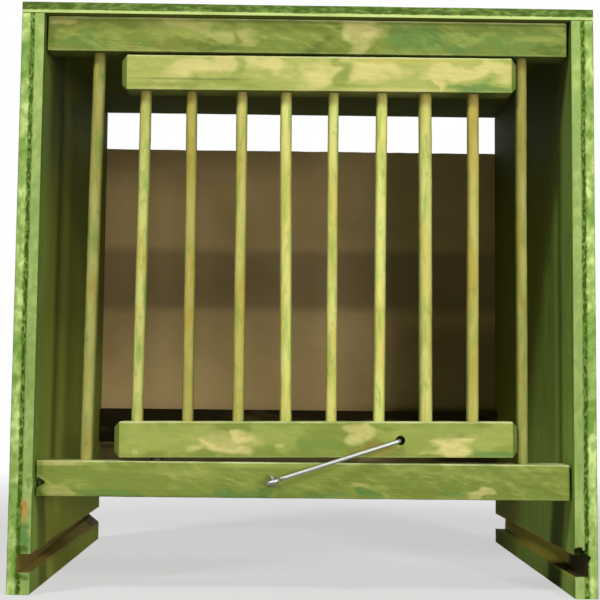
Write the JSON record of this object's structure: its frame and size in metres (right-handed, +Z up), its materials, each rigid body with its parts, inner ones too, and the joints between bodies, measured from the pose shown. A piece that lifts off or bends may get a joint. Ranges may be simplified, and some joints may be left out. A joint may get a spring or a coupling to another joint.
{
  "type": "bird nest box",
  "caption": "Plywood bird nest box with an open-bottomed case, a barred front, a pivoting barred door and a wire hook latch.",
  "frame": {"origin": "centre of the whole box's footprint, at the level of the side panels' feet", "axes": "+X to the right seen from the barred front, +Y from the front to the back, +Z up"},
  "size_m": [0.4, 0.313, 0.408],
  "materials": {
    "stained_plywood": "green-stained plywood, matte",
    "stained_rail": "green-stained softwood, matte",
    "stained_bar": "yellow-green stained dowel, satin",
    "hardboard": "brown hardboard, matte",
    "dark_batten": "dark-stained softwood, matte",
    "zinc_wire": "bright zinc-plated wire",
    "screw_steel": "zinc-plated, dulled",
    "nail_steel": "dull steel"
  },
  "bodies": {
    "case": {"left_side_panel": "stained_plywood", "right_side_panel": "stained_plywood", "top_panel": "stained_plywood", "back_panel": "hardboard", "back_batten": "dark_batten", "frame_top_rail": "stained_rail", "frame_bottom_rail": "stained_rail", "left_fixed_bar": "stained_bar", "right_fixed_bar": "stained_bar", "upper_pivot_nail": "nail_steel", "lower_pivot_nail": "nail_steel", "pivot_spacer": "nail_steel", "back_nails": "nail_steel", "latch_eye": "zinc_wire", "side_screws": "screw_steel", "top_screws": "screw_steel"},
    "door": {"door_top_rail": "stained_rail", "door_bottom_rail": "stained_rail", "door_bar_1": "stained_bar", "door_bar_2": "stained_bar", "door_bar_3": "stained_bar", "door_bar_4": "stained_bar", "door_bar_5": "stained_bar", "door_bar_6": "stained_bar", "door_bar_7": "stained_bar", "door_bar_8": "stained_bar"},
    "hook": {"latch_hook": "zinc_wire"}
  },
  "joints": [
    {"name": "door_swing", "type": "hinge", "parent": "case", "child": "door", "pos_m": [-0.102, -0.13212, 0.23325], "axis": [0, 0, 1], "range_deg": [0, 100]},
    {"name": "hook_lift", "type": "hinge", "parent": "case", "child": "hook", "pos_m": [-0.021, -0.15038, 0.0775], "axis": [0.3064, 0, -0.9519], "range_deg": [0, 175]}
  ]
}
